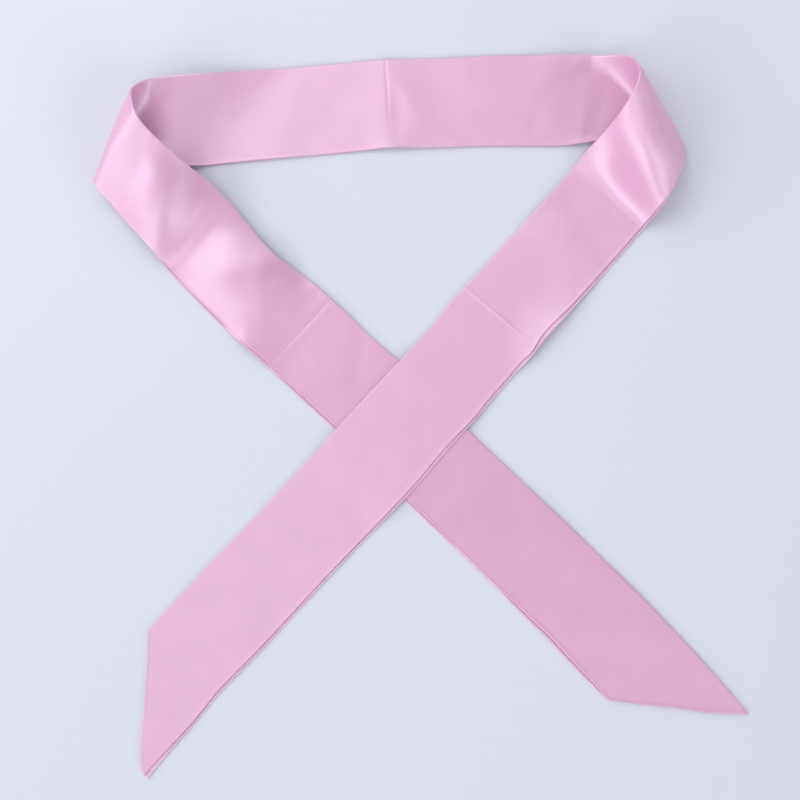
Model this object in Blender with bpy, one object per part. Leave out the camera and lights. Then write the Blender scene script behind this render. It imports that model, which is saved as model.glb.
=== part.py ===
"""A narrow satin scarf lying on a table in a loop, with its two slanted tails crossed.

The scarf is one flattened tube of cloth.  One long edge (edge A) is a fold, the other (edge B) is a
seam where the two layers meet.  It lies as a straight band across the back, rolls softly over itself
at both ends of the band, and its tails run forward and cross, the right tail over the left one.

Every solid is one stretch of the tube.  A table gives sections across the tube, and smooth curves
run through its rows.
"""

import bpy
import numpy as np

MM = 0.001

# ---- sizes of the cloth, in millimetres ----
WIDTH = 50.0
THICKNESS = 2.0          # both layers, pressed together
HALF = THICKNESS / 2
SLANT = 57.0             # how much farther a tip is along one edge than along the other
LEFT_END = -596.0        # middle of the left slanted end, measured from the middle of the tube
RIGHT_END = 593.0
SLANT_REACH = 90.0       # the sections turn to the slant over this length before an end
CREASE = 317.5           # packing creases, on both sides of the middle
PLAN_MIDDLE = (0.3, 0.1)     # middle of the outline seen from above, which is the origin
BAND_END = 110.0         # where the straight band gives way to the turns
PIECE_GAP = 0.3          # between two stretches that meet end to end

# ---- the seamed edge: two rims with a groove between them ----
RIM_STEP = 0.4           # one layer's rim stands this far out past the edge, the other's falls short
GROOVE_DEPTH = 1.8
GROOVE_MOUTH = 0.25      # half of the groove's height at its mouth
RIM_SHOULDER = 0.25      # where the flat of a layer rounds into its rim

# ---- how finely the solids are divided ----
FACE_STEPS = 8
FOLD_STEPS = 5
TURN_RING_STEP = 4.5
BAND_RING_STEP = 8.0
TAIL_RING_STEP = 9.0

# ---- the right tail rises where it lies over the left tail ----
CROSSING_CLEARANCE = 0.4
CROSSING_FLAT = 27.0     # flat top, out to this distance from the left tail's middle line
CROSSING_RAMP = 15.0     # length of the slope on each side
LEFT_TAIL_LINE = ((-52.5, 34.5), (82.5, -93.5))

# ---- colour ----
SATIN_PINK = (0.86, 0.52, 0.70, 1.0)
SATIN_ROUGHNESS = 0.42

# Sections across the tube.
#   along    place along the tube, from its middle
#   x, y, z  middle of the straight line between the two edges
#   turn     direction from edge B to edge A in plan, in degrees from +X towards +Y
#   tilt     how far edge A is raised above edge B, in degrees
#   bow      how far the cloth's middle bows out of the line between the edges
# along,      x,      y,    z,  turn,  tilt,  bow
LEFT_CREASE = (-317.5,  -60.5,   42.5,  2.4,  47.0,   0.0,  1.0)
RIGHT_CREASE = (317.5,   45.0,   49.0,  1.8, 138.5,  -4.5,  2.0)
LEFT_TAIL = [
    (-626.0,  158.5, -175.5,  0.0,  47.0,   0.0,  0.0),
    (-580.0,  128.0, -140.5,  0.0,  47.0,   0.0,  0.0),
    (-530.0,   93.0, -104.5,  0.0,  47.0,   0.0,  0.0),
    (-470.0,   50.0,  -63.0,  0.0,  47.0,   0.0,  0.0),
    (-410.0,    6.5,  -21.5,  0.0,  47.0,   0.0,  0.0),
    (-362.0,  -27.5,   12.0,  0.0,  47.0,   0.0,  0.0),
    (-344.0,  -41.0,   24.0,  0.2,  47.0,   0.0,  0.2),
    (-330.0,  -51.0,   34.0,  1.0,  47.0,   1.5,  0.6),
    LEFT_CREASE,
]
LOOP = [
    LEFT_CREASE,
    # hump in front of the crease
    (-307.0,   -68.0,   49.0,  2.8,  46.5,  -2.5, -0.2),
    (-296.0,   -76.0,   56.0,  2.8,  47.0,  -3.0, -3.2),
    (-280.0,   -88.0,   65.5,  3.0,  47.0,   7.5, -7.0),
    (-260.0,  -101.5,   80.0,  3.0,  48.0,   4.5, -7.4),
    (-238.0,  -116.5,   96.0,  5.0,  48.5,   7.0, -3.4),
    # left turn
    (-218.0,  -129.5,  109.5, 11.0,  50.5,   6.0, -7.6),
    (-203.0,  -139.5,  118.5, 14.8,  48.0,  19.5, -8.0),
    (-188.0,  -149.0,  128.0, 17.8,  47.0,  31.5, -3.0),
    (-172.0,  -158.5,  139.5, 21.8,  48.0,  31.0, -1.4),
    (-160.0,  -159.5,  148.5, 16.2,  55.5,  33.5, -2.4),
    (-148.0,  -155.0,  152.0, 11.0,  77.5,  27.0, -6.2),
    (-134.0,  -145.5,  157.0,  9.0,  87.0,   7.5, -5.4),
    (-118.0,  -129.5,  159.0,  7.8,  87.5,   6.0, -3.2),
    # band across the back, with a low bump at its middle crease
    (-90.0,  -104.5,  161.5,  3.6,  93.5,   8.5, -1.6),
    (-50.0,   -64.5,  165.0,  0.6,  94.0,   1.5, -0.8),
    (-12.0,   -27.0,  168.0,  0.6,  93.0,  -1.0, -0.6),
    (4.0,     -11.0,  169.0,  1.2,  92.0,  -3.0, -1.4),
    (18.0,      3.0,  169.0,  0.8,  91.5,  -1.5, -0.8),
    (60.0,     44.5,  170.0,  0.2,  89.5,   0.5, -0.2),
    (100.0,    84.5,  169.5,  2.6,  89.5,   2.5, -2.6),
    # right turn
    (118.0,    101.5,  169.5,  4.4,  94.0,   3.5, -8.0),
    (134.0,    116.0,  167.0,  6.4,  98.5,  20.5, -6.8),
    (148.0,    125.5,  164.0, 11.0, 115.0,  36.0, -3.4),
    (160.0,    131.0,  159.0, 18.2, 131.0,  37.5, -1.0),
    (172.0,    130.0,  149.0, 20.2, 135.5,  32.5, -4.2),
    (186.0,    125.0,  139.5, 19.4, 136.5,  16.0, -9.4),
    (200.0,    119.5,  131.0, 15.2, 130.5,  -1.0, -5.8),
    (214.0,    112.0,  123.0,  7.8, 132.5,   0.0, -0.8),
    (230.0,    103.0,  113.0,  1.0, 135.5,   4.0,  1.2),
    # flat run down to the crease
    (255.0,     87.0,   94.5,  1.2, 136.5,   2.0, -0.6),
    (285.0,     67.0,   73.0,  1.4, 137.5,  -4.0,  1.4),
    (304.0,    54.0,   59.0,  2.4, 138.0,  -5.0,  2.2),
    RIGHT_CREASE,
]
RIGHT_TAIL = [
    RIGHT_CREASE,
    (330.0,    37.0,   39.5,  0.6, 138.5,  -1.5,  0.6),
    (344.0,    28.0,   28.5,  0.0, 138.5,   0.0,  0.0),
    (362.0,    16.0,   15.0,  0.0, 138.5,   0.0,  0.0),
    (410.0,   -16.5,  -20.0,  0.0, 138.5,   0.0,  0.0),
    (470.0,   -57.0,  -64.5,  0.0, 138.5,   0.0,  0.0),
    (530.0,   -98.5, -108.0,  0.0, 138.5,   0.0,  0.0),
    (580.0,  -131.5, -145.5,  0.0, 138.5,   0.0,  0.0),
    (622.0,  -158.0, -178.0,  0.0, 138.5,   0.0,  0.0),
]

# How far the sewn slanted ends swell past the straight line between their two corners.
# share of the width from edge B to edge A, swell
END_SWELL_REACH = 24.0
LEFT_SWELL = [(0.0, 0.0), (0.2, 1.0), (0.5, 0.9), (0.7, 1.7), (0.93, 0.5), (1.0, 0.0)]
RIGHT_SWELL = [(0.0, 0.0), (0.05, 3.0), (0.16, 4.1), (0.45, 1.9), (0.8, 0.3), (1.0, 0.0)]


class SmoothTable:
    """Natural cubic curves through the rows of a table, by the first column."""

    def __init__(self, rows):
        table = np.array(rows, dtype=float)
        self.places = table[:, 0]
        self.values = table[:, 1:]
        count = len(table)
        step = np.diff(self.places)
        slope = np.diff(self.values, axis=0) / step[:, None]
        matrix = np.eye(count)
        change = np.zeros_like(self.values)
        for i in range(1, count - 1):
            matrix[i, i - 1:i + 2] = step[i - 1], 2 * (step[i - 1] + step[i]), step[i]
            change[i] = 6 * (slope[i] - slope[i - 1])
        self.bend = np.linalg.solve(matrix, change)

    def at(self, place):
        place = np.asarray(place, dtype=float)
        row = np.clip(np.searchsorted(self.places, place) - 1, 0, len(self.places) - 2)
        step = (self.places[row + 1] - self.places[row])[..., None]
        ahead = (place - self.places[row])[..., None] / step
        behind = 1 - ahead
        straight = behind * self.values[row] + ahead * self.values[row + 1]
        bent = (behind ** 3 - behind) * self.bend[row] + (ahead ** 3 - ahead) * self.bend[row + 1]
        return straight + bent * step ** 2 / 6


def unit(vectors):
    return vectors / np.linalg.norm(vectors, axis=-1, keepdims=True)


def smooth_step(share):
    share = np.clip(share, 0.0, 1.0)
    return share * share * (3 - 2 * share)


def rise_over_left_tail(points):
    """Height of the right tail above the table, by how near it is to the left tail's middle."""
    start, end = np.array(LEFT_TAIL_LINE)
    line = unit(end - start)
    away = points[..., :2] - start
    distance = np.abs(away[..., 0] * line[1] - away[..., 1] * line[0])
    share = (CROSSING_FLAT + CROSSING_RAMP - distance) / CROSSING_RAMP
    return smooth_step(share) * (THICKNESS + CROSSING_CLEARANCE)


class Stretch:
    """One run of the tube: its middle surface, and points at a height above or below that."""

    def __init__(self, rows, end=None, swell=None, crosses=False):
        self.table = SmoothTable(rows)
        self.end = end
        self.swell = swell
        self.crosses = crosses

    def slanted(self, place, share):
        """Place along the tube of a point in the section at a place, which slants near an end."""
        if self.end is None:
            return place + 0 * share
        closeness = np.clip(1 - np.abs(place - self.end) / SLANT_REACH, 0.0, 1.0)
        return place - SLANT * closeness * (share - 0.5)

    def cloth(self, along, share):
        """Point of the strip; share runs from 0 at edge B to 1 at edge A."""
        probe = 0.5
        here = self.table.at(along)
        forward = self.table.at(along + probe)[..., :3] - self.table.at(along - probe)[..., :3]
        turn, tilt = np.radians(here[..., 3]), np.radians(here[..., 4])
        across = np.stack([np.cos(turn) * np.cos(tilt), np.sin(turn) * np.cos(tilt),
                           np.sin(tilt)], axis=-1)
        bow = here[..., 5]
        chord = WIDTH - 8 * bow ** 2 / (3 * WIDTH)
        point = here[..., :3] + across * ((share - 0.5) * chord)[..., None]
        point = point + unit(np.cross(forward, across)) * (4 * share * (1 - share) * bow)[..., None]
        point[..., 2] = np.maximum(point[..., 2], 0.0) + HALF
        if self.crosses:
            point[..., 2] += rise_over_left_tail(point)
        return point

    def end_swell(self, place, share):
        """Shift near the slanted end, square to the line between its two corners."""
        corners = self.cloth(self.slanted(self.end, np.array([0.0, 1.0])), np.array([0.0, 1.0]))
        inner = self.cloth(np.array([self.table.places.mean()]), np.array([0.5]))[0]
        line = corners[1] - corners[0]
        outward = unit(np.array([line[1], -line[0], 0.0]))
        outward = outward * np.sign(np.dot(outward, corners.mean(axis=0) - inner))
        shares, amounts = np.array(self.swell).T
        closeness = np.clip(1 - np.abs(place - self.end) / END_SWELL_REACH, 0.0, 1.0)
        return outward * (np.interp(share, shares, amounts) * closeness ** 2)[..., None]

    def points(self, place, share, height):
        along = self.slanted(place, share)
        probe = 0.4
        forward = self.cloth(along + probe, share) - self.cloth(along - probe, share)
        sideways = (self.cloth(along, share + probe / WIDTH)
                    - self.cloth(along, share - probe / WIDTH))
        normal = unit(np.cross(forward, sideways))
        point = self.cloth(along, share) + normal * height[..., None]
        if self.end is not None:
            point = point + self.end_swell(place, share)
        return point


def section_outline():
    """Closed outline across the tube, as columns of distance from edge B and of height.

    It runs along the upper face from edge B to the fold at edge A, round the fold, back along the
    lower face, and round the two rims of the seamed edge, which stand apart on both sides of a
    groove.
    """
    fold_centre = WIDTH - HALF
    face = np.linspace(GROOVE_DEPTH, fold_centre, FACE_STEPS + 1)
    fold_angle = np.linspace(np.pi / 2, -np.pi / 2, FOLD_STEPS + 1)[1:-1]
    outline = [(distance, HALF) for distance in face]
    outline += [(fold_centre + HALF * np.cos(a), HALF * np.sin(a)) for a in fold_angle]
    outline += [(distance, -HALF) for distance in face[::-1]]
    outline += [
        (RIM_STEP + RIM_SHOULDER, -0.92 * HALF),
        (RIM_STEP / 2, -0.55 * HALF),
        (RIM_STEP, -GROOVE_MOUTH),
        (GROOVE_DEPTH, 0.0),
        (-RIM_STEP / 2, GROOVE_MOUTH),
        (-RIM_STEP, 0.55 * HALF),
        (RIM_SHOULDER, 0.92 * HALF),
    ]
    return np.array(outline)


def stretch_mesh(name, stretch, start, end, ring_step):
    """Closed solid from rings that follow one another along the stretch."""
    count = round((end - start) / ring_step) + 1
    outline = section_outline()
    size = len(outline)
    place, distance = np.meshgrid(np.linspace(start, end, count), outline[:, 0], indexing="ij")
    height = np.broadcast_to(outline[:, 1], place.shape)
    points = stretch.points(place, distance / WIDTH, height) - np.array([*PLAN_MIDDLE, 0.0])
    faces = []
    for i in range(count - 1):
        for j in range(size):
            k = (j + 1) % size
            faces.append((i * size + j, i * size + k, (i + 1) * size + k, (i + 1) * size + j))
    last_ring = (count - 1) * size
    faces.append(tuple(reversed(range(size))))
    faces.append(tuple(range(last_ring, last_ring + size)))
    mesh = bpy.data.meshes.new(name)
    mesh.from_pydata((points.reshape(-1, 3) * MM).tolist(), [], faces)
    mesh.polygons.foreach_set("use_smooth", [len(face) == 4 for face in faces])
    mesh.update()
    return mesh


def signed_volume(mesh):
    """Six times the volume, negative when the faces point inward."""
    total = 0.0
    for polygon in mesh.polygons:
        corners = [mesh.vertices[i].co for i in polygon.vertices]
        for i in range(1, len(corners) - 1):
            total += corners[0].dot(corners[i].cross(corners[i + 1]))
    return total


def satin_material(name):
    material = bpy.data.materials.new(name)
    material.use_nodes = True
    shader = material.node_tree.nodes["Principled BSDF"]
    shader.inputs["Base Color"].default_value = SATIN_PINK
    shader.inputs["Roughness"].default_value = SATIN_ROUGHNESS
    shader.inputs["Metallic"].default_value = 0.0
    return material


def add_stretch(name, stretch, start, end, ring_step):
    mesh = stretch_mesh(name, stretch, start, end, ring_step)
    if signed_volume(mesh) < 0:
        mesh.flip_normals()
    mesh.materials.append(satin_material("satin_" + name))
    thing = bpy.data.objects.new(name, mesh)
    bpy.context.scene.collection.objects.link(thing)
    return thing


def build():
    gap = PIECE_GAP / 2
    loop = Stretch(LOOP)
    left = Stretch(LEFT_TAIL, LEFT_END, LEFT_SWELL)
    right = Stretch(RIGHT_TAIL, RIGHT_END, RIGHT_SWELL, crosses=True)
    add_stretch("left_tail", left, LEFT_END, -CREASE - gap, TAIL_RING_STEP)
    add_stretch("left_turn", loop, -CREASE + gap, -BAND_END - gap, TURN_RING_STEP)
    add_stretch("neck_band", loop, -BAND_END + gap, BAND_END - gap, BAND_RING_STEP)
    add_stretch("right_turn", loop, BAND_END + gap, CREASE - gap, TURN_RING_STEP)
    add_stretch("right_tail", right, CREASE + gap, RIGHT_END, TAIL_RING_STEP)


for old in list(bpy.data.objects):
    bpy.data.objects.remove(old, do_unlink=True)
build()
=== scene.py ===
"""Looks of a narrow satin scarf lying in a loop on a table, with its two slanted tails crossed.

The scarf is one flattened tube of thin cloth.  Edge A is a pressed fold, edge B is a seam where two
rolled rims stand apart on both sides of a groove.  Tables give sections across the tube, the soft
ridges and troughs in the cloth, and how far each rim stands out.
"""

import bpy
import numpy as np
from mathutils import Matrix, Vector


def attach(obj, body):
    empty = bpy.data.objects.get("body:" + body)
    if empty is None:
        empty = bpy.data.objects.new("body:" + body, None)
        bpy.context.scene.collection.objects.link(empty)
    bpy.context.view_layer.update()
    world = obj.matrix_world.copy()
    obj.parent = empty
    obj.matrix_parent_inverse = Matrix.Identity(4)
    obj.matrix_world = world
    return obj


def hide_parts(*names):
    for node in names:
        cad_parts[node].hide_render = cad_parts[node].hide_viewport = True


MM = 0.001

# ---- sizes of the cloth, in millimetres ----
WIDTH = 50.0
THICKNESS = 1.2          # both layers of cloth, with the seam allowance between them
HALF = THICKNESS / 2
SLANT = 57.0             # how much farther a tip is along one edge than along the other
LEFT_END = -596.0        # middle of the left slanted end, measured from the middle of the tube
RIGHT_END = 593.0
SLANT_REACH = 90.0       # the sections turn to the slant over this length before an end
CREASE = 317.5           # packing creases, on both sides of the middle
MIDDLE_CREASE = 0.8
PLAN_MIDDLE = (0.3, 0.1)     # middle of the outline seen from above, which is the origin
BAND_END = 110.0         # where the straight band gives way to the turns
SIDE_CHANGE = 157.0      # past this the other face of the tube lies upward

# ---- the seamed edge ----
ROLL_RADIUS = 0.45       # of each layer's rolled rim, in plan
ROLL_RISE = 0.2          # how far a rim stands above its layer's flat face
ROLL_FADE = 0.9          # length over which that rise dies away
SHELF_STEP = 1.2         # a rim this far out past the other rolls up fully
SHELF_ROLL = 0.42        # and then it reaches about this far past the tube's middle
GROOVE_DEPTH = 1.3       # inward from the inner one of the two rims
GROOVE_HALF = 0.06       # half of the groove's height

# ---- how finely the cloth is divided ----
RING_STEP = 0.9
CREASE_RING_STEP = 0.3
CREASE_REACH = 5.0
FACE_STEPS = 50
FACE_CROWDING = 1.3      # crowds the divisions of a face towards its rim
ROUND_STEPS = 6
INNER_STEPS = 6
INNER_CROWDING = 1.5     # crowds the divisions of the groove towards its mouth
LOOK_UP_STEP = 0.25      # between the sections that are worked out beforehand
LOOK_UP_MARGIN = 40.0    # how far past each end they go on
SLOPE_STEP = 0.5         # to each side, for the direction of the tube
NORMAL_STEP = 0.3        # to each side, for the direction square to the cloth

# ---- the cloth comes down to the table in a soft bend ----
CONTACT_BEND = 2.5       # at this height it is drawn down by about half
CONTACT_REACH = 10.0     # the bend fades out over this height

# ---- the right tail rises where it lies over the left tail ----
CROSSING_CLEARANCE = 0.1
CROSSING_FLAT = 27.0     # flat top, out to this distance from the left tail's middle line
CROSSING_RAMP = 26.0     # length of the slope on each side
LEFT_TAIL_LINE = ((-52.5, 34.5), (82.5, -93.5))

# Sections across the tube.
#   along    place along the tube, from its middle
#   x, y, z  middle of the straight line between the two edges
#   turn     direction from edge B to edge A in plan, in degrees from +X towards +Y
#   tilt     how far edge A is raised above edge B, in degrees
#   bow      how far the cloth's middle bows out of the line between the edges
# along,      x,      y,    z,  turn,  tilt,  bow
LEFT_CREASE = (-317.5,  -60.5,   42.5,  2.4,  47.0,   0.0,  1.0)
RIGHT_CREASE = (317.5,   45.0,   49.0,  1.8, 138.5,  -4.5,  2.0)
LEFT_TAIL = [
    (-626.0,   158.5, -175.5,  0.0,  47.0,   0.0,  0.0),
    (-580.0,   128.0, -140.5,  0.0,  47.0,   0.0,  0.0),
    (-530.0,    93.0, -104.5,  0.0,  47.0,   0.0,  0.0),
    (-470.0,    50.0,  -63.0,  0.0,  47.0,   0.0,  0.0),
    (-410.0,     6.5,  -21.5,  0.0,  47.0,   0.0,  0.0),
    (-362.0,   -27.5,   12.0,  0.0,  47.0,   0.0,  0.0),
    (-344.0,   -41.0,   24.0,  0.2,  47.0,   0.0,  0.2),
    (-330.0,   -51.0,   34.0,  1.0,  47.0,   1.5,  0.6),
    LEFT_CREASE,
]
LOOP = [
    LEFT_CREASE,
    # hump in front of the crease
    (-307.0,   -68.0,   49.0,  2.8,  46.5,  -2.5, -0.2),
    (-296.0,   -76.0,   56.0,  2.8,  47.0,  -3.0, -3.2),
    (-280.0,   -88.0,   65.5,  3.0,  47.0,   7.5, -7.0),
    (-260.0,  -101.5,   80.0,  3.0,  48.0,   4.5, -7.4),
    (-238.0,  -116.5,   96.0,  5.0,  48.5,   7.0, -3.4),
    # left turn
    (-218.0,  -129.5,  109.5, 11.0,  50.5,   6.0, -7.6),
    (-203.0,  -139.5,  118.5, 14.8,  48.0,  19.5, -8.0),
    (-188.0,  -149.0,  128.0, 17.8,  47.0,  31.5, -3.0),
    (-172.0,  -158.5,  139.5, 21.8,  48.0,  31.0, -1.4),
    (-160.0,  -159.5,  148.5, 16.2,  55.5,  33.5, -2.4),
    (-148.0,  -155.0,  152.0, 11.0,  77.5,  27.0, -6.2),
    (-134.0,  -145.5,  157.0,  9.0,  87.0,   7.5, -5.4),
    (-118.0,  -129.5,  159.0,  7.8,  87.5,   6.0, -3.2),
    # band across the back, with a low bump at its middle crease
    (-90.0,   -104.5,  161.5,  3.6,  93.5,   8.5, -1.6),
    (-50.0,    -64.5,  165.0,  0.6,  94.0,   1.5, -0.8),
    (-12.0,    -27.0,  168.0,  0.6,  93.0,  -1.0, -0.6),
    (4.0,      -11.0,  169.0,  1.2,  92.0,  -3.0, -1.4),
    (18.0,       3.0,  169.0,  0.8,  91.5,  -1.5, -0.8),
    (60.0,      44.5,  170.0,  0.2,  89.5,   0.5, -0.2),
    (100.0,     84.5,  169.5,  2.6,  89.5,   2.5, -2.6),
    # right turn
    (118.0,    101.5,  169.5,  4.4,  94.0,   3.5, -8.0),
    (134.0,    116.0,  167.0,  6.4,  98.5,  20.5, -6.8),
    (148.0,    125.5,  164.0, 11.0, 115.0,  36.0, -3.4),
    (160.0,    131.0,  159.0, 18.2, 131.0,  37.5, -1.0),
    (172.0,    130.0,  149.0, 20.2, 135.5,  32.5, -4.2),
    (186.0,    125.0,  139.5, 19.4, 136.5,  16.0, -9.4),
    (200.0,    119.5,  131.0, 15.2, 130.5,  -1.0, -5.8),
    (214.0,    112.0,  123.0,  7.8, 132.5,   0.0, -0.8),
    (230.0,    103.0,  113.0,  1.0, 135.5,   4.0,  1.2),
    # flat run down to the crease
    (255.0,     87.0,   94.5,  1.2, 136.5,   2.0, -0.6),
    (285.0,     67.0,   73.0,  1.4, 137.5,  -4.0,  1.4),
    (304.0,     54.0,   59.0,  2.4, 138.0,  -5.0,  2.2),
    RIGHT_CREASE,
]
RIGHT_TAIL = [
    RIGHT_CREASE,
    (330.0,     37.0,   39.5,  0.6, 138.5,  -1.5,  0.6),
    (344.0,     28.0,   28.5,  0.0, 138.5,   0.0,  0.0),
    (362.0,     16.0,   15.0,  0.0, 138.5,   0.0,  0.0),
    (410.0,    -16.5,  -20.0,  0.0, 138.5,   0.0,  0.0),
    (470.0,    -57.0,  -64.5,  0.0, 138.5,   0.0,  0.0),
    (530.0,    -98.5, -108.0,  0.0, 138.5,   0.0,  0.0),
    (580.0,   -131.5, -145.5,  0.0, 138.5,   0.0,  0.0),
    (622.0,   -158.0, -178.0,  0.0, 138.5,   0.0,  0.0),
]

# How far the sewn slanted ends swell past the straight line between their two corners.
# share of the width from edge B to edge A, swell
END_SWELL_REACH = 24.0
INSIDE_SHARE = 0.7       # a place well inside, as a share of the way out to an end
LEFT_SWELL = [(0.0, 0.0), (0.2, 1.0), (0.5, 0.9), (0.7, 1.7), (0.93, 0.5), (1.0, 0.0)]
RIGHT_SWELL = [(0.0, 0.0), (0.05, 3.0), (0.16, 4.1), (0.45, 1.9), (0.8, 0.3), (1.0, 0.0)]
END_ROLL = 0.35          # the sewn end stands this share thicker than the flat cloth
END_ROLL_REACH = 1.5     # and falls to the flat cloth over this length
END_GAP = 0.05           # in radians, how far short of closing the rounded end stops

# Where the two rims of edge B lie, inward from the edge's own line.
#   first   rim of the layer that lies upward in the band and underneath in the tails
#   second  rim of the other layer
# along, first, second
RIMS = [
    (-600.0, -0.2,  0.2),
    (-565.0, -0.9,  0.6),
    (-540.0, -0.4,  1.2),
    (-531.0, -0.1,  1.5),
    (-517.0, -0.4,  1.0),
    (-500.0, -0.3,  0.9),
    (-487.0, -0.1,  0.3),
    (-460.0,  0.0,  0.6),
    (-425.0, -0.1,  0.9),
    (-385.0, -0.2,  1.0),
    (-360.0, -0.1,  1.3),
    (-345.0,  0.0,  1.4),
    (-334.0, -0.4,  0.8),
    (-325.0, -0.6,  0.0),
    (-319.0, -0.4,  0.1),
    (-316.5, -0.3,  1.1),
    (-300.0, -0.3,  1.2),
    (-286.0, -0.4,  1.9),
    (-276.0, -1.0,  0.6),
    (-265.0, -1.7,  0.3),
    (-250.0, -1.1,  0.8),
    (-237.0, -0.5,  0.9),
    (-226.0, -0.2,  0.3),
    (-212.0, -0.3,  0.2),
    (-200.0, -0.2,  0.2),
    (-170.0, -0.1,  0.3),
    (-110.0, -0.2,  0.4),
    (0.0,    -0.1,  0.5),
    (110.0,  -0.2,  0.4),
    (180.0,  -0.1,  0.4),
    (212.0,  -0.3,  0.9),
    (240.0,  -0.2,  1.2),
    (270.0,  -0.3,  1.2),
    (290.0,  -1.2,  0.6),
    (312.0,  -1.5,  0.2),
    (317.0,  -1.9, -0.8),
    (323.0,  -1.9,  0.1),
    (334.0,  -0.9,  0.6),
    (352.0,  -0.6,  1.0),
    (362.0,  -0.9,  0.2),
    (376.0,  -1.1,  0.3),
    (386.0,  -1.2,  0.4),
    (400.0,  -1.9, -0.3),
    (412.0,  -2.3, -0.8),
    (430.0,  -1.9, -0.6),
    (448.0,  -1.3,  0.0),
    (465.0,  -0.8,  0.5),
    (490.0,  -0.8,  0.5),
    (503.0,  -1.3,  0.1),
    (520.0,  -1.6, -0.3),
    (535.0,  -1.1,  0.2),
    (551.0,  -0.4,  1.0),
    (563.0,  -0.7,  0.4),
    (572.0,  -0.3,  0.9),
    (587.0,   0.0,  1.5),
    (600.0,  -0.3,  0.8),
    (610.0,  -0.4,  0.2),
    (622.0,   0.0,  0.1),
]

# Soft ridges and troughs.  They fade out over these lengths and widths, measured from the middle.
#   along, across   middle, from the tube's middle and from edge B
#   lean            direction in degrees, from the tube's length towards edge A
#   length          towards each end
#   before, after   width on the side of lower and of higher along
#   rise            towards the side that shows, below zero in a trough
RIDGE_FADE = 1.7         # how soon a ridge fades towards its ends
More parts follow.
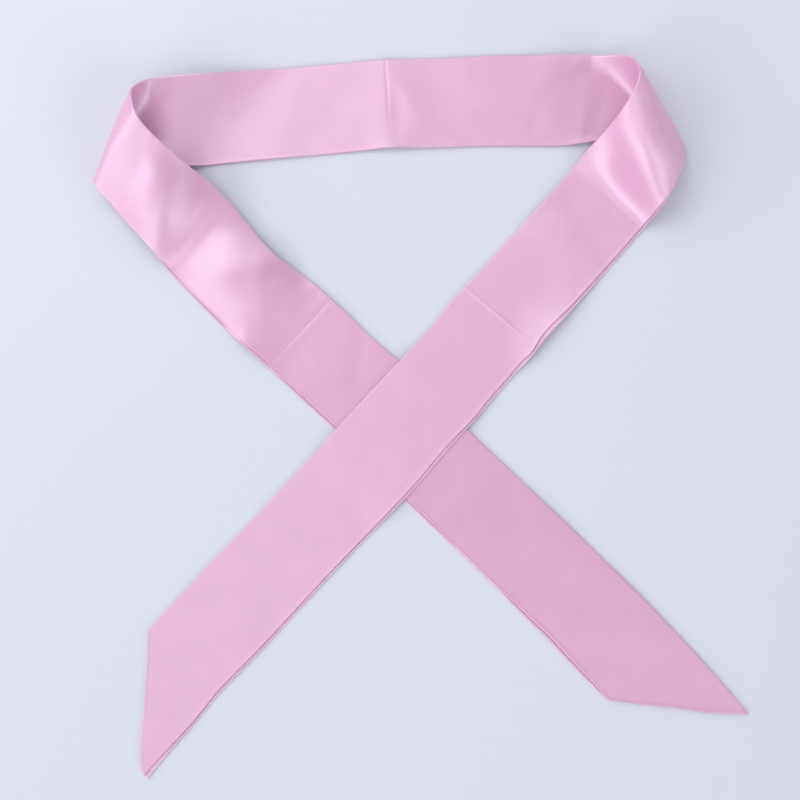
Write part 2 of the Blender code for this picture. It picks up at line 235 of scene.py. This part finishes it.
# along, across, lean, length, before, after, rise
RIDGES = [
    # packing creases
    (0.0,    22.0,  92.0, 60.0,  8.0,  6.0,  0.40),
    (0.8,    37.0,  92.0, 24.0,  0.8,  0.8, -0.16),
    (-317.5, 25.0,  90.0, 60.0, 14.0,  3.0, -0.30),
    (-317.0, 25.0,  90.0, 60.0,  1.2,  0.5, -0.15),
    (314.8,  25.0,  89.0, 60.0,  1.1,  0.7,  0.35),
    # band: long wrinkles beside its middle crease, then blotches
    (9.0,    34.0, 116.0, 28.0,  5.0, 11.0,  0.50),
    (12.0,   12.0,  84.0, 22.0,  5.0, 11.0,  0.40),
    (-64.0,  44.0,  20.0, 20.0,  9.9,  6.6, -0.25),
    (-52.0,  30.0,  75.0, 34.0,  8.8,  5.5,  0.20),
    (-30.0,  24.0,  48.0, 40.0,  6.6,  7.7, -0.15),
    (-88.0,  30.0, 100.0, 36.0,  7.7,  6.6,  0.20),
    (-103.0, 10.0, 112.0, 26.0,  5.5,  4.4, -0.25),
    (-40.0,   4.0,   4.0, 36.0,  3.3,  3.3,  0.10),
    (38.0,   10.0, 150.0, 18.0,  3.9,  3.9, -0.15),
    (26.0,   45.0,   6.0, 18.0,  3.9,  3.3, -0.10),
    (44.0,   43.0,  95.0, 12.0,  2.8,  2.8,  0.10),
    (60.0,   26.0,  80.0, 34.0, 11.0,  8.8,  0.15),
    (92.0,   34.0,  66.0, 30.0,  6.6,  5.5, -0.25),
    (82.0,   14.0,  88.0, 16.0,  3.3,  4.4, -0.15),
    # band near the turns
    (106.0,  47.0,  60.0,  9.0,  2.4,  2.4,  0.20),
    (114.0,  47.5,  75.0,  8.0,  1.8,  2.0, -0.20),
    (122.0,  47.0,  70.0,  9.0,  2.4,  2.2,  0.20),
    (107.0,  10.0,  86.0, 18.0,  3.3,  2.4,  0.15),
    (114.0,  12.0,  75.0, 30.0,  4.4,  4.4, -0.25),
    (-120.0, 45.0,  88.0, 12.0,  1.8,  1.8, -0.15),
    (-127.0, 42.0,  60.0,  9.0,  2.2,  2.6,  0.25),
    (-134.0, 44.0,  95.0, 11.0,  2.2,  2.2, -0.25),
    (-126.0, 30.0,  80.0, 24.0,  4.4,  4.4, -0.20),
    # left turn and the strip below it
    (-188.5, 48.0,  82.0,  8.0,  1.8,  1.5, -0.30),
    (-194.0, 25.0,  62.0, 26.0,  3.7,  3.5, -0.40),
    (-184.0, 24.0,  72.0, 34.0,  4.4,  5.5,  0.30),
    (-207.0, 30.0,  52.0, 32.0,  5.0,  4.4,  0.30),
    (-217.0, 40.0,  72.0, 22.0,  7.2,  5.5, -0.50),
    (-227.0, 42.0,  84.0, 20.0,  2.8,  2.8,  0.25),
    (-262.0, 22.0,  46.0, 44.0,  7.7,  7.7,  0.20),
    (-284.0, 32.0,  52.0, 40.0,  4.4,  5.5,  0.35),
    (-296.0, 27.0,  58.0, 34.0,  6.6,  5.5, -0.45),
    (-303.0, 46.0, 128.0, 12.0,  2.8,  2.8,  0.20),
    (-311.0, 20.0,  84.0, 32.0,  3.3,  3.3, -0.15),
    # right turn and the strip below it
    (182.0,  30.0, 118.0, 40.0,  5.5,  5.0,  0.20),
    (193.0,  34.0, 112.0, 30.0,  5.0,  5.5, -0.10),
    (226.0,  18.0,  62.0, 34.0,  6.5,  6.5,  0.15),
    (218.0,  40.0,  60.0, 24.0,  6.5,  6.5, -0.10),
    (252.0,  34.0,  50.0, 34.0,  6.6,  6.6,  0.15),
    (276.0,  43.0,  70.0, 16.0,  4.4,  6.6, -0.25),
    (268.0,  44.0,  60.0, 16.0,  2.8,  2.2,  0.20),
    (305.0,  22.0,  86.0, 40.0,  5.5,  5.5, -0.15),
    (298.0,  26.0,  84.0, 40.0,  3.3,  3.3,  0.10),
    # tails
    (-330.0, 24.0,  60.0, 38.0,  6.6,  6.6,  0.15),
    (-345.0, 44.0,  40.0, 14.0,  4.4,  4.4, -0.20),
    (-357.0, 26.0,  50.0, 20.0,  5.5,  5.5, -0.20),
    (322.0,  14.0,  80.0, 26.0,  4.4,  5.5, -0.15),
    (352.0,  46.0,  40.0, 16.0,  5.5,  5.5, -0.15),
    (382.0,  22.0,  52.0, 40.0,  9.9,  7.7,  0.15),
    (455.0,  28.0,  44.0, 48.0,  9.9,  9.9,  0.15),
    (548.0,  24.0,  40.0, 46.0,  8.8,  9.9, -0.15),
    (-438.0, 28.0,  38.0, 44.0,  8.8,  8.8,  0.15),
    (-520.0, 22.0,  44.0, 48.0, 11.0,  8.8, -0.15),
]

# Long shallow waves that keep the cloth from being perfectly flat.
#   wavelength, lean in degrees from the tube's length, height, start as a share of a wave
WAVES = [
    (61.0,  24.0, 0.10, 0.15),
    (43.0, -31.0, 0.07, 0.60),
    (29.0,  62.0, 0.04, 0.35),
    (17.0,  48.0, 0.02, 0.80),
]

# ---- colours, as shares of red, green and blue light ----
SATIN_DEEP = (0.66, 0.285, 0.52, 1.0)
SATIN_LIGHT = (0.72, 0.325, 0.57, 1.0)
FLOOR_COLOUR = (0.665, 0.69, 0.775, 1.0)
LIGHT_COLOUR = (1.0, 0.99, 1.0)
SKY_COLOUR = (0.92, 0.94, 1.0, 1.0)
SKY_STRENGTH = 0.31

# ---- make-up of the satin, where lengths are in millimetres ----
STREAK_SCALE = (160.0, 2.2, 1.0)     # across and along the tube, in waves a width
STREAK_DETAIL = 3.0
CLOUD_SCALE = 2.6
CLOUD_DETAIL = 2.0
CLOUD_SHARE = 0.55       # of the tone, with the streaks for the rest
TONE_RANGE = (0.35, 0.65)            # between the deep and the light satin
FLOAT_LENGTH = 0.9
THREAD_PITCH = 0.16
THREAD_GAP = 0.03
FLOAT_SHIFT = 0.4        # of a row of threads against the next, as a share of a float
GAP_DEPTH = -0.35        # of the gaps between threads, against the streaks
WEAVE_STRENGTH = 0.25
WEAVE_HEIGHT = 0.04
SATIN_ROUGHNESS = (0.42, 0.52)
SATIN_ANISOTROPY = 0.6
SATIN_IOR = 2.2
SATIN_SPECULAR = 1.0
SHEEN_WEIGHT = 0.2
SHEEN_ROUGHNESS = 0.35
SHEEN_TINT = (1.0, 0.82, 0.92, 1.0)

# ---- the table ----
FLOOR_HALF = 4.0         # metres from its middle to each edge
FLOOR_ROUGHNESS = 0.8
FLOOR_MOTTLE = 4.0
FLOOR_SHADE = 0.985      # its darker tone, as a share of the other

# Soft lights all round, in metres and watts, aimed at the middle of the table.
SOFTBOXES = [
    # name, azimuth from +X towards +Y, elevation, distance, width, height, power
    ("window", 135.0, 42.0, 1.4, 1.4, 1.4, 9.6),
    ("back", 85.0, 34.0, 1.2, 1.6, 1.0, 3.0),
    ("top", 95.0, 68.0, 2.0, 1.3, 1.3, 0.2),
    ("front", 270.0, 60.0, 3.0, 2.6, 1.8, 15.0),
    ("front_left", 225.0, 25.0, 2.6, 2.0, 1.4, 21.0),
    ("front_right", 315.0, 25.0, 2.6, 2.0, 1.4, 21.0),
    ("right", 0.0, 20.0, 2.0, 1.6, 1.2, 5.0),
    ("left", 180.0, 20.0, 2.0, 1.6, 1.2, 9.0),
]

# ---- camera, in millimetres ----
CAMERA_PLACE = (34.087, -51.864, 665.957)
CAMERA_RIGHT = (0.99813, 0.00532, -0.06082)
CAMERA_UP = (0.0, 0.99619, 0.08716)
CAMERA_VIEW = (-0.06105, 0.08699, -0.99434)
SENSOR = 36.0
LENS = 56.25


class SmoothTable:
    """Natural cubic curves through the rows of a table, by the first column."""

    def __init__(self, rows):
        table = np.array(rows, dtype=float)
        self.places = table[:, 0]
        self.values = table[:, 1:]
        count = len(table)
        step = np.diff(self.places)
        slope = np.diff(self.values, axis=0) / step[:, None]
        matrix = np.eye(count)
        change = np.zeros_like(self.values)
        for i in range(1, count - 1):
            matrix[i, i - 1:i + 2] = step[i - 1], 2 * (step[i - 1] + step[i]), step[i]
            change[i] = 6 * (slope[i] - slope[i - 1])
        self.bend = np.linalg.solve(matrix, change)

    def at(self, place):
        place = np.asarray(place, dtype=float)
        row = np.clip(np.searchsorted(self.places, place) - 1, 0, len(self.places) - 2)
        step = (self.places[row + 1] - self.places[row])[..., None]
        ahead = (place - self.places[row])[..., None] / step
        behind = 1 - ahead
        straight = behind * self.values[row] + ahead * self.values[row + 1]
        bent = (behind ** 3 - behind) * self.bend[row] + (ahead ** 3 - ahead) * self.bend[row + 1]
        return straight + bent * step ** 2 / 6


def unit(vectors):
    return vectors / np.linalg.norm(vectors, axis=-1, keepdims=True)


def smooth_step(share):
    share = np.clip(share, 0.0, 1.0)
    return share * share * (3 - 2 * share)


def rest_on_table(height):
    """Keeps the cloth off the table, and bends it softly where it comes down to it."""
    above = np.maximum(height, 0.0)
    bend = np.exp(-(above / CONTACT_REACH) ** 2)
    return np.sqrt(above ** 2 + CONTACT_BEND ** 2) - CONTACT_BEND * bend


def rise_over_left_tail(points):
    """Height of the right tail above the table, by how near it is to the left tail's middle."""
    start, end = np.array(LEFT_TAIL_LINE)
    line = unit(end - start)
    away = points[..., :2] - start
    distance = np.abs(away[..., 0] * line[1] - away[..., 1] * line[0])
    share = (CROSSING_FLAT + CROSSING_RAMP - distance) / CROSSING_RAMP
    return smooth_step(share) * (THICKNESS + CROSSING_CLEARANCE)


def relief(along, distance):
    """Height of ridges, troughs and waves towards the side that shows."""
    total = 0 * along
    for middle, across, lean, length, before, after, rise in RIDGES:
        angle = np.radians(lean)
        ahead, aside = along - middle, distance - across
        run = ahead * np.cos(angle) + aside * np.sin(angle)
        off = ahead * np.sin(angle) - aside * np.cos(angle)
        width = np.where(off > 0, after, before)
        total = total + rise * np.exp(-(off / width) ** 2 - RIDGE_FADE * (run / length) ** 2)
    for wavelength, lean, height, start in WAVES:
        angle = np.radians(lean)
        run = along * np.cos(angle) + distance * np.sin(angle)
        total = total + height * (1 + np.sin(2 * np.pi * (run / wavelength + start)))
    return total


class Scarf:
    """The middle surface of the whole tube, and points at a height above or below it."""

    def __init__(self):
        self.rims = SmoothTable(RIMS)
        start, end = LEFT_END - LOOK_UP_MARGIN, RIGHT_END + LOOK_UP_MARGIN
        self.along = np.arange(start, end, LOOK_UP_STEP)
        before = self.section(self.along - SLOPE_STEP)
        after = self.section(self.along + SLOPE_STEP)
        here = self.section(self.along)
        turn, tilt, bow = np.radians(here[:, 3]), np.radians(here[:, 4]), here[:, 5:]
        across = np.stack([np.cos(turn) * np.cos(tilt), np.sin(turn) * np.cos(tilt),
                           np.sin(tilt)], axis=-1)
        chord = WIDTH - 8 * bow ** 2 / (3 * WIDTH)
        arch = 4 * bow * unit(np.cross(after[:, :3] - before[:, :3], across))
        self.lines = np.concatenate([here[:, :3], across * chord, arch], axis=-1)

    def section(self, along):
        left, loop, right = [SmoothTable(rows).at(along) for rows in (LEFT_TAIL, LOOP, RIGHT_TAIL)]
        values = np.where((along < -CREASE)[:, None], left, loop)
        return np.where((along > CREASE)[:, None], right, values)

    def slanted(self, place, share):
        """Place along the tube of a point in the section at a place, which slants near an end."""
        left = np.clip(1 - np.abs(place - LEFT_END) / SLANT_REACH, 0.0, 1.0)
        right = np.clip(1 - np.abs(place - RIGHT_END) / SLANT_REACH, 0.0, 1.0)
        return place - SLANT * (left + right) * (share - 0.5)

    def flat_cloth(self, along, distance):
        """Point of the strip before the ridges; distance runs from 0 at edge B to edge A."""
        place = (along - self.along[0]) / LOOK_UP_STEP
        row = np.floor(place).astype(int)
        part = (place - row)[..., None]
        line = self.lines[row] * (1 - part) + self.lines[row + 1] * part
        share = (distance / WIDTH)[..., None]
        point = line[..., :3] + line[..., 3:6] * (share - 0.5) + line[..., 6:] * share * (1 - share)
        point[..., 2] = rest_on_table(point[..., 2]) + HALF
        point[..., 2] += np.where(along > CREASE, rise_over_left_tail(point), 0.0)
        return point

    def normal(self, surface, along, distance):
        """Direction square to a surface, towards the side that is up in the band."""
        step = NORMAL_STEP
        forward = surface(along + step, distance) - surface(along - step, distance)
        sideways = surface(along, distance + step) - surface(along, distance - step)
        return unit(np.cross(forward, sideways))

    def cloth(self, along, distance):
        """Point of the middle surface, with its ridges and troughs."""
        side = np.where(np.abs(along) < SIDE_CHANGE, 1.0, -1.0)
        rise = side * relief(along, distance)
        point = self.flat_cloth(along, distance)
        return point + self.normal(self.flat_cloth, along, distance) * rise[..., None]

    def end_swell(self, place, distance, end, rows):
        """Shift near a slanted end, square to the line between its two corners."""
        edges = np.array([0.0, WIDTH])
        ends = self.flat_cloth(self.slanted(np.array([end, end]), edges / WIDTH), edges)
        inner = self.flat_cloth(np.array([end * INSIDE_SHARE]), np.array([WIDTH / 2]))[0]
        line = ends[1] - ends[0]
        outward = unit(np.array([line[1], -line[0], 0.0]))
        outward = outward * np.sign(np.dot(outward, ends.mean(axis=0) - inner))
        shares, amounts = np.array(rows).T
        closeness = np.clip(1 - np.abs(place - end) / END_SWELL_REACH, 0.0, 1.0)
        swell = np.interp(distance / WIDTH, shares, amounts) * closeness ** 2
        return outward * swell[..., None]

    def points(self, place, distance, height):
        along = self.slanted(place, distance / WIDTH)
        point = self.cloth(along, distance)
        point = point + self.normal(self.cloth, along, distance) * height[..., None]
        point = point + self.end_swell(place, distance, LEFT_END, LEFT_SWELL)
        point = point + self.end_swell(place, distance, RIGHT_END, RIGHT_SWELL)
        point[..., 2] = np.maximum(point[..., 2], 0.0)
        return (point - np.array([*PLAN_MIDDLE, 0.0])) * MM


def layer_outline(rim, other_rim):
    """Half of the outline across the tube: out of the groove, round the rim, along the face.

    Gives a distance from edge B and a height away from the tube's middle, for each section.
    """
    columns = []
    bulge = SHELF_ROLL * np.clip((other_rim - rim) / SHELF_STEP, 0.0, 1.0)
    reach = np.maximum(rim, other_rim) + GROOVE_DEPTH - rim - ROLL_RADIUS
    for k in range(INNER_STEPS):
        inward = reach * (1 - k / INNER_STEPS) ** INNER_CROWDING
        fall = smooth_step(inward / ROLL_RADIUS)
        columns.append((rim + ROLL_RADIUS + inward, GROOVE_HALF - bulge * (1 - fall)))
    low, high = GROOVE_HALF - bulge, HALF + ROLL_RISE + 0 * rim
    for angle in np.linspace(-np.pi / 2, np.pi / 2, ROUND_STEPS + 1):
        columns.append((rim + ROLL_RADIUS * (1 - np.cos(angle)),
                        (low + high) / 2 + (high - low) / 2 * np.sin(angle)))
    start = rim + ROLL_RADIUS
    for k in range(1, FACE_STEPS + 1):
        away = (WIDTH - HALF - start) * (k / FACE_STEPS) ** FACE_CROWDING
        rise = ROLL_RISE * np.exp(-(away / ROLL_FADE) ** 2)
        columns.append((start + away, HALF + rise))
    distance, height = zip(*columns)
    return np.stack(distance, axis=-1), np.stack(height, axis=-1)


def tube_outline(rims):
    """Outline all round the tube, open only in the groove of edge B."""
    first, second = rims[:, 0], rims[:, 1]
    near_distance, near_height = layer_outline(first, second)
    far_distance, far_height = layer_outline(second, first)
    angle = np.linspace(np.pi / 2, -np.pi / 2, ROUND_STEPS + 1)[1:-1]
    fold = np.ones((len(first), 1))
    distance = [near_distance, fold * (WIDTH - HALF + HALF * np.cos(angle)), far_distance[:, ::-1]]
    height = [near_height, fold * HALF * np.sin(angle), -far_height[:, ::-1]]
    return np.concatenate(distance, axis=1), np.concatenate(height, axis=1)


def ring_places(start, end):
    """Places of the rings along the tube, closer together beside the packing creases."""
    places = [start]
    while places[-1] < end:
        nearest = min(abs(places[-1] - crease) for crease in (-CREASE, MIDDLE_CREASE, CREASE))
        step = CREASE_RING_STEP if nearest < CREASE_REACH else RING_STEP
        places.append(places[-1] + step)
    places = np.array(places)
    return start + (places - start) * (end - start) / (places[-1] - start)


def end_places(places):
    """Adds rings that round off a slanted end, and gives each ring's share of the full height."""
    height = np.ones(len(places))
    reach = END_ROLL_REACH * 2
    for end, outward in ((LEFT_END, -1), (RIGHT_END, 1)):
        if abs(places[0 if outward < 0 else -1] - end) > CREASE_RING_STEP:
            continue
        inside = np.abs(places - end) > reach
        places, height = places[inside], height[inside]
        rolled = HALF + (reach - HALF) * np.linspace(0.0, 1.0, ROUND_STEPS + 2)[:0:-1]
        angles = np.linspace(0, np.pi / 2 - END_GAP, ROUND_STEPS)
        extra = np.concatenate([rolled, HALF * (1 - np.sin(angles))])
        thick = 1 + END_ROLL * np.exp(-(extra / END_ROLL_REACH) ** 2)
        places = np.concatenate([places, end - outward * extra])
        height = np.concatenate([height, thick * np.concatenate([0 * rolled + 1, np.cos(angles)])])
    order = np.argsort(places)
    return places[order], height[order]


def cloth_piece(name, scarf, start, end, material):
    """One stretch of the tube as an open skin."""
    places, height_share = end_places(ring_places(start, end))
    # one more ring past each seam between two stretches, only for the directions at the seam
    before = NORMAL_STEP if start > LEFT_END else 0.0
    after = NORMAL_STEP if end < RIGHT_END else 0.0
    places = np.concatenate([[places[0] - before], places, [places[-1] + after]])
    height_share = np.concatenate([height_share[:1], height_share, height_share[-1:]])
    distance, height = tube_outline(scarf.rims.at(places))
    place = np.broadcast_to(places[:, None], distance.shape)
    points = scarf.points(place, distance, height * height_share[:, None])
    along_step = points[2:] - points[:-2]
    around_step = np.gradient(points, axis=1)[1:-1]
    normals = unit(np.cross(along_step, around_step))
    points = points[1:-1]
    along = scarf.slanted(place, distance / WIDTH)[1:-1]
    distance = distance[1:-1]

    rings, size = points.shape[:2]
    corner = np.arange(rings * size).reshape(rings, size)
    faces = np.stack([corner[:-1, :-1], corner[1:, :-1], corner[1:, 1:], corner[:-1, 1:]], axis=-1)
    faces = faces.reshape(-1, 4)
    mesh = bpy.data.meshes.new(name)
    mesh.from_pydata(points.reshape(-1, 3).tolist(), [], faces.tolist())
    mesh.update()
    chart = mesh.uv_layers.new(name="cloth")
    where = np.stack([distance, along], axis=-1).reshape(-1, 2)
    chart.data.foreach_set("uv", (where[faces.ravel()] / WIDTH).ravel())
    mesh.polygons.foreach_set("use_smooth", [True] * len(faces))
    mesh.normals_split_custom_set_from_vertices(normals.reshape(-1, 3).tolist())
    mesh.materials.append(material)
    piece = bpy.data.objects.new(name, mesh)
    bpy.context.scene.collection.objects.link(piece)
    return piece


class Nodes:
    """Short way to place and join shader nodes."""

    def __init__(self, tree):
        self.tree = tree

    def add(self, kind, **settings):
        node = self.tree.nodes.new(kind)
        for key, value in settings.items():
            setattr(node, key, value)
        return node

    def join(self, source, target):
        self.tree.links.new(source, target)


def satin_material():
    material = bpy.data.materials.new("pink_satin")
    material.use_nodes = True
    nodes = Nodes(material.node_tree)
    shader = material.node_tree.nodes["Principled BSDF"]
    chart = nodes.add("ShaderNodeUVMap", uv_map="cloth")

    # threads run along the tube: streaks are long in that direction and thin across it
    stretched = nodes.add("ShaderNodeMapping")
    stretched.inputs["Scale"].default_value = STREAK_SCALE
    nodes.join(chart.outputs["UV"], stretched.inputs["Vector"])
    streaks = nodes.add("ShaderNodeTexNoise")
    streaks.inputs["Scale"].default_value = 1.0
    streaks.inputs["Detail"].default_value = STREAK_DETAIL
    nodes.join(stretched.outputs["Vector"], streaks.inputs["Vector"])

    clouds = nodes.add("ShaderNodeTexNoise")
    clouds.inputs["Scale"].default_value = CLOUD_SCALE
    clouds.inputs["Detail"].default_value = CLOUD_DETAIL
    nodes.join(chart.outputs["UV"], clouds.inputs["Vector"])

    blend = nodes.add("ShaderNodeMix", data_type="FLOAT")
    blend.inputs["Factor"].default_value = CLOUD_SHARE
    nodes.join(streaks.outputs["Fac"], blend.inputs["A"])
    nodes.join(clouds.outputs["Fac"], blend.inputs["B"])
    tone = nodes.add("ShaderNodeValToRGB")
    for stop, position, colour in zip(tone.color_ramp.elements, TONE_RANGE, (SATIN_DEEP, SATIN_LIGHT)):
        stop.position = position
        stop.color = colour
    nodes.join(blend.outputs["Result"], tone.inputs["Fac"])
    nodes.join(tone.outputs["Color"], shader.inputs["Base Color"])

    # satin weave: long floats, each row of threads set off from the next
    woven = nodes.add("ShaderNodeMapping")
    woven.inputs["Rotation"].default_value = (0.0, 0.0, np.pi / 2)
    nodes.join(chart.outputs["UV"], woven.inputs["Vector"])
    floats = nodes.add("ShaderNodeTexBrick")
    floats.offset = FLOAT_SHIFT
    floats.inputs["Scale"].default_value = 1.0
    floats.inputs["Brick Width"].default_value = FLOAT_LENGTH / WIDTH
    floats.inputs["Row Height"].default_value = THREAD_PITCH / WIDTH
    floats.inputs["Mortar Size"].default_value = THREAD_GAP / WIDTH
    floats.inputs["Mortar Smooth"].default_value = 1.0
    nodes.join(woven.outputs["Vector"], floats.inputs["Vector"])
    grain = nodes.add("ShaderNodeMath", operation="MULTIPLY_ADD")
    grain.inputs[1].default_value = GAP_DEPTH
    nodes.join(floats.outputs["Fac"], grain.inputs[0])
    nodes.join(streaks.outputs["Fac"], grain.inputs[2])
    bump = nodes.add("ShaderNodeBump")
    bump.inputs["Strength"].default_value = WEAVE_STRENGTH
    bump.inputs["Distance"].default_value = WEAVE_HEIGHT * MM
    nodes.join(grain.outputs["Value"], bump.inputs["Height"])
    nodes.join(bump.outputs["Normal"], shader.inputs["Normal"])

    gloss = nodes.add("ShaderNodeMapRange")
    gloss.inputs["To Min"].default_value = SATIN_ROUGHNESS[0]
    gloss.inputs["To Max"].default_value = SATIN_ROUGHNESS[1]
    nodes.join(streaks.outputs["Fac"], gloss.inputs["Value"])
    nodes.join(gloss.outputs["Result"], shader.inputs["Roughness"])

    # the highlight spreads across the threads
    across = nodes.add("ShaderNodeTangent", direction_type="UV_MAP", uv_map="cloth")
    nodes.join(across.outputs["Tangent"], shader.inputs["Tangent"])
    shader.inputs["Anisotropic"].default_value = SATIN_ANISOTROPY
    shader.inputs["IOR"].default_value = SATIN_IOR
    shader.inputs["Specular IOR Level"].default_value = SATIN_SPECULAR
    shader.inputs["Sheen Weight"].default_value = SHEEN_WEIGHT
    shader.inputs["Sheen Roughness"].default_value = SHEEN_ROUGHNESS
    shader.inputs["Sheen Tint"].default_value = SHEEN_TINT
    return material


def floor_material():
    material = bpy.data.materials.new("pale_table")
    material.use_nodes = True
    nodes = Nodes(material.node_tree)
    shader = material.node_tree.nodes["Principled BSDF"]
    place = nodes.add("ShaderNodeTexCoord")
    mottle = nodes.add("ShaderNodeTexNoise")
    mottle.inputs["Scale"].default_value = FLOOR_MOTTLE
    nodes.join(place.outputs["Object"], mottle.inputs["Vector"])
    tone = nodes.add("ShaderNodeValToRGB")
    tone.color_ramp.elements[0].color = [FLOOR_SHADE * c for c in FLOOR_COLOUR[:3]] + [1.0]
    tone.color_ramp.elements[1].color = FLOOR_COLOUR
    nodes.join(mottle.outputs["Fac"], tone.inputs["Fac"])
    nodes.join(tone.outputs["Color"], shader.inputs["Base Color"])
    shader.inputs["Roughness"].default_value = FLOOR_ROUGHNESS
    return material


def add_floor():
    mesh = bpy.data.meshes.new("floor")
    corners = [(x * FLOOR_HALF, y * FLOOR_HALF, 0) for x, y in ((-1, -1), (1, -1), (1, 1), (-1, 1))]
    mesh.from_pydata(corners, [], [(0, 1, 2, 3)])
    mesh.materials.append(floor_material())
    floor = bpy.data.objects.new("floor", mesh)
    bpy.context.scene.collection.objects.link(floor)


def add_softbox(name, azimuth, elevation, distance, width, height, power):
    light = bpy.data.lights.new(name, "AREA")
    light.shape = "RECTANGLE"
    light.size, light.size_y = width, height
    light.energy = power
    light.color = LIGHT_COLOUR
    across, up = np.radians(azimuth), np.radians(elevation)
    place = Vector((np.cos(across) * np.cos(up), np.sin(across) * np.cos(up), np.sin(up)))
    lamp = bpy.data.objects.new(name, light)
    lamp.location = place * distance
    lamp.rotation_mode = "QUATERNION"
    lamp.rotation_quaternion = (-place).to_track_quat("-Z", "Y")
    bpy.context.scene.collection.objects.link(lamp)


def add_light():
    for softbox in SOFTBOXES:
        add_softbox(*softbox)
    world = bpy.data.worlds.new("studio")
    world.use_nodes = True
    sky = world.node_tree.nodes["Background"]
    sky.inputs["Color"].default_value = SKY_COLOUR
    sky.inputs["Strength"].default_value = SKY_STRENGTH
    bpy.context.scene.world = world
    bpy.context.scene.view_settings.view_transform = "Standard"


def add_camera():
    lens = bpy.data.cameras.new("camera")
    lens.sensor_width = SENSOR
    lens.lens = LENS
    camera = bpy.data.objects.new("camera", lens)
    turn = Matrix((CAMERA_RIGHT, CAMERA_UP, [-v for v in CAMERA_VIEW])).transposed()
    camera.matrix_world = Matrix.Translation(Vector(CAMERA_PLACE) * MM) @ turn.to_4x4()
    bpy.context.scene.collection.objects.link(camera)
    bpy.context.scene.camera = camera


def add_scarf():
    """Makes the five pieces; the flat sizes are once round the tube, by length."""
    scarf = Scarf()
    satin = satin_material()
    pieces = [
        # name, start, end, flat length, flat area
        ("left_tail", LEFT_END, -CREASE, 0.307, 0.02785),
        ("left_turn", -CREASE, -BAND_END, 0.2075, None),
        ("neck_band", -BAND_END, BAND_END, 0.220, None),
        ("right_turn", BAND_END, CREASE, 0.2075, None),
        ("right_tail", CREASE, RIGHT_END, 0.304, 0.02755),
    ]
    for name, start, end, length, area in pieces:
        piece = cloth_piece(name + "_cloth", scarf, start, end, satin)
        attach(piece, "root")
        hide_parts(name)


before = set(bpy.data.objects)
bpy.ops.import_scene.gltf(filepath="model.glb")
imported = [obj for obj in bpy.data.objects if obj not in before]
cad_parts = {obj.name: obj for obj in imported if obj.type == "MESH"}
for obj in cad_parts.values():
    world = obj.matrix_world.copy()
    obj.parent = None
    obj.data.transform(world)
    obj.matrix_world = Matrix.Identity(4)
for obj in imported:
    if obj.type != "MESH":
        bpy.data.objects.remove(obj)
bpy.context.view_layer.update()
add_scarf()
add_floor()
add_light()
add_camera()
